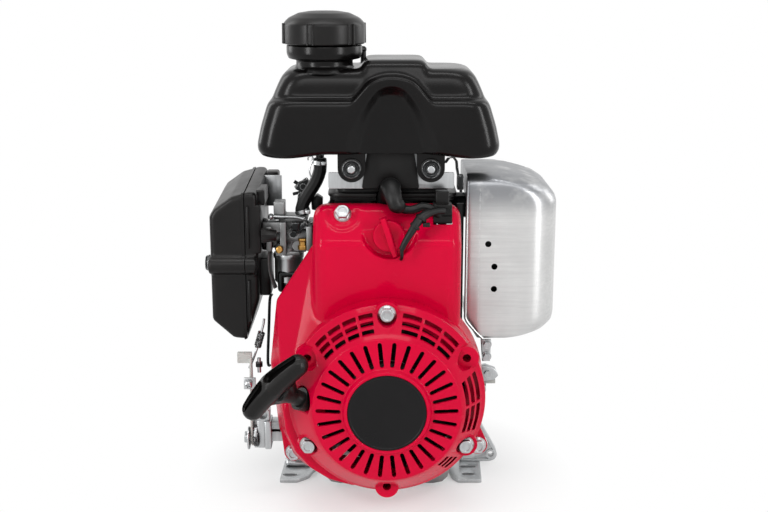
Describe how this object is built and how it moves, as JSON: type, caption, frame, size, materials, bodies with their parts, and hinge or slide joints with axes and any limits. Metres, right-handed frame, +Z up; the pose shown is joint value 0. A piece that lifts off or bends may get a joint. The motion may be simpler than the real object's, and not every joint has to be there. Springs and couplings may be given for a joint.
{
  "type": "small gasoline engine",
  "caption": "Air-cooled four-stroke engine with a horizontal shaft, rope starter under a vented round cover, fan housing, top fuel tank, air cleaner, shielded muffler and slotted feet",
  "frame": {"origin": "under the middle of the engine, on its mounting face", "axes": "+X to the muffler side, +Y along the crankshaft to the output shaft, +Z up"},
  "size_m": [0.2916, 0.2947, 0.402],
  "materials": {
    "red_paint": "glossy red powder coat",
    "black_plastic": "black moulded plastic",
    "badge_black": "satin black disc",
    "cast_aluminium": "bead blasted casting",
    "zinc_steel": "zinc plated sheet",
    "bright_aluminium": "brushed sheet",
    "dark_steel": "dark plated",
    "steel": "machined",
    "rubber": "black moulded rubber",
    "foam": "grey filter element",
    "pale_grey": "pale grey plastic",
    "rope_fibre": "braided starter rope"
  },
  "bodies": {
    "engine": {"front_bearing": "steel", "rear_bearing": "steel", "recoil_cover": "red_paint", "recoil_badge": "badge_black", "crankcase": "cast_aluminium", "crankcase_cover": "cast_aluminium", "cylinder_head": "cast_aluminium", "head_cover": "zinc_steel", "spark_plug": "steel", "plug_cap": "rubber", "ignition_lead": "rubber", "lead_block": "black_plastic", "ignition_coil": "dark_steel", "fan_cover": "red_paint", "recoil_bolt_top": "zinc_steel", "recoil_bolt_left": "zinc_steel", "recoil_bolt_right": "zinc_steel", "fan_bolt_top": "zinc_steel", "fan_bolt_left": "zinc_steel", "fan_bolt_right": "zinc_steel", "fuel_tank": "black_plastic", "filler_neck": "black_plastic", "tank_grommet_left": "rubber", "tank_grommet_right": "rubber", "tank_bolt_left": "zinc_steel", "tank_bolt_right": "zinc_steel", "tank_bracket": "zinc_steel", "bracket_guard": "black_plastic", "fuel_hose": "rubber", "carburetor": "cast_aluminium", "float_bowl": "zinc_steel", "intake_manifold": "black_plastic", "air_cleaner_case": "black_plastic", "air_filter": "foam", "muffler": "zinc_steel", "muffler_shield": "bright_aluminium", "foot_left": "zinc_steel", "foot_right": "zinc_steel", "control_base": "zinc_steel"},
    "crankshaft": {"crankshaft_front": "steel", "crankshaft_rear": "steel", "shaft_key": "dark_steel", "flywheel": "cast_aluminium", "starter_cup": "dark_steel"},
    "piston": {"piston": "cast_aluminium", "piston_pin": "steel"},
    "connecting_rod": {"connecting_rod": "cast_aluminium", "crank_pin": "steel"},
    "starter_grip": {"recoil_handle": "black_plastic", "starter_rope": "rope_fibre"},
    "recoil_reel": {"recoil_reel": "black_plastic"},
    "cap_lift": {"cap_gasket": "rubber"},
    "fuel_cap": {"fuel_cap": "black_plastic"},
    "switch_knob": {"switch_knob": "red_paint"},
    "choke_lever": {"choke_lever": "black_plastic"},
    "control_lever": {"control_lever": "pale_grey"},
    "governor_arm": {"governor_arm": "zinc_steel"},
    "air_cleaner_cover": {"air_cleaner_cover": "black_plastic"},
    "air_cleaner_nut": {"air_cleaner_nut": "dark_steel"},
    "oil_cap": {"oil_cap": "pale_grey"}
  },
  "joints": [
    {"name": "crank_turn", "type": "hinge", "parent": "engine", "child": "crankshaft", "pos_m": [0.004, 0, 0.105], "axis": [0, 1, 0], "continuous": true},
    {"name": "piston_slide", "type": "slide", "parent": "engine", "child": "piston", "axis": [0, 0, 1], "range_m": [-0.04, 0]},
    {"name": "rod_swing", "type": "hinge", "parent": "piston", "child": "connecting_rod", "pos_m": [0.004, 0.006, 0.2], "axis": [0, 1, 0], "range_deg": [-15.5, 15.5]},
    {"name": "grip_pull", "type": "slide", "parent": "engine", "child": "starter_grip", "axis": [-0.6814, -0.4946, 0.5395], "range_m": [0, 0.6], "stiffness_N_per_m": 20, "springref_m": -0.5},
    {"name": "reel_turn", "type": "hinge", "parent": "engine", "child": "recoil_reel", "pos_m": [0.004, 0, 0.105], "axis": [0, 1, 0], "range_deg": [0, 1200]},
    {"name": "cap_lift", "type": "slide", "parent": "engine", "child": "cap_lift", "axis": [0, 0, 1], "range_m": [0, 0.03]},
    {"name": "cap_turn", "type": "hinge", "parent": "cap_lift", "child": "fuel_cap", "pos_m": [-0.0456, -0.03, 0.39], "axis": [0, 0, 1], "range_deg": [0, 270]},
    {"name": "knob_turn", "type": "hinge", "parent": "engine", "child": "switch_knob", "pos_m": [0.0055, -0.072, 0.23], "axis": [0, 1, 0], "range_deg": [0, 90]},
    {"name": "choke_swing", "type": "hinge", "parent": "engine", "child": "choke_lever", "pos_m": [-0.0913, -0.024, 0.221], "axis": [1, 0, 0], "range_deg": [-15, 35]},
    {"name": "throttle_swing", "type": "hinge", "parent": "engine", "child": "control_lever", "pos_m": [-0.1088, -0.046, 0.052], "axis": [1, 0, 0], "range_deg": [0, 45]},
    {"name": "governor_swing", "type": "hinge", "parent": "engine", "child": "governor_arm", "pos_m": [-0.058, 0.024, 0.096], "axis": [1, 0, 0], "range_deg": [-8, 8]},
    {"name": "cleaner_cover_pull", "type": "slide", "parent": "engine", "child": "air_cleaner_cover", "axis": [-1, 0, 0], "range_m": [0, 0.06]},
    {"name": "cleaner_nut_turn", "type": "hinge", "parent": "air_cleaner_cover", "child": "air_cleaner_nut", "pos_m": [-0.144, -0.029, 0.197], "axis": [1, 0, 0], "continuous": true},
    {"name": "oil_cap_pull", "type": "slide", "parent": "engine", "child": "oil_cap", "axis": [1, 0, 0], "range_m": [0, 0.03]}
  ],
  "couplings": [
    {"joint": "reel_turn", "follows": "grip_pull", "rad_per_m": 34.247}
  ]
}
